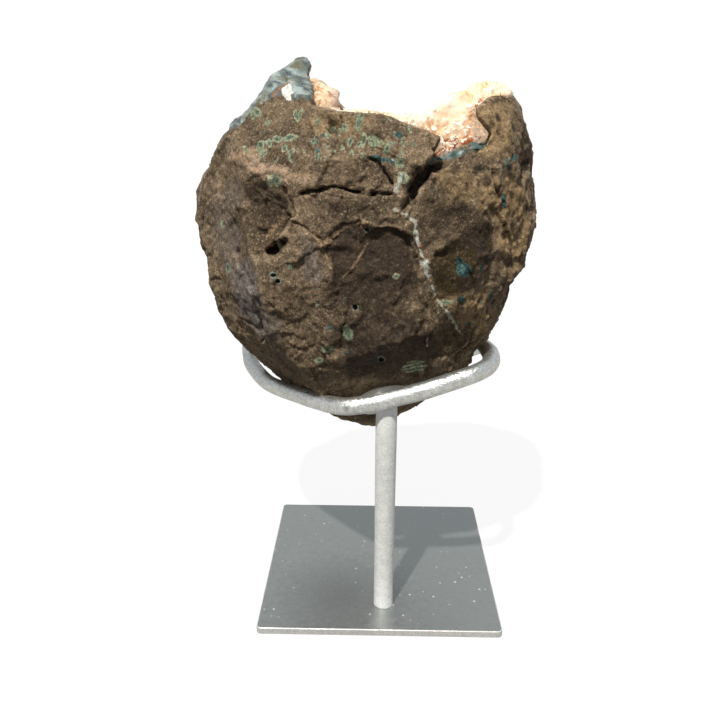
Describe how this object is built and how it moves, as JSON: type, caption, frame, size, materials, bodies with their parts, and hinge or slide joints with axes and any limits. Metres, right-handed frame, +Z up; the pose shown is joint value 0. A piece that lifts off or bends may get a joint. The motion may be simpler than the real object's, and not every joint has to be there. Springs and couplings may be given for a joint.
{
  "type": "stilbite specimen on stand",
  "caption": "Broken basalt nodule with a hollow lined with stilbite crystals, resting in a bent bar ring on a welded post and a square base plate.",
  "frame": {"origin": "middle of the base plate's underside", "axes": "+Z up along the post, -Y towards the side where the post stands, +X to the right seen from that side"},
  "size_m": [0.145, 0.1248, 0.2219],
  "materials": {
    "plate_paint": "semi-gloss silver-grey paint with fine metal flake",
    "bar_paint": "gloss silver paint with fine metal flake",
    "basalt": "matte broken rock, fine grained",
    "stilbite": "pearly crystal faces, stained rust red in places"
  },
  "bodies": {
    "root": {"base_plate": "plate_paint", "post": "bar_paint", "support_ring": "bar_paint", "basalt_matrix": "basalt", "stilbite_crust": "stilbite"}
  },
  "joints": []
}
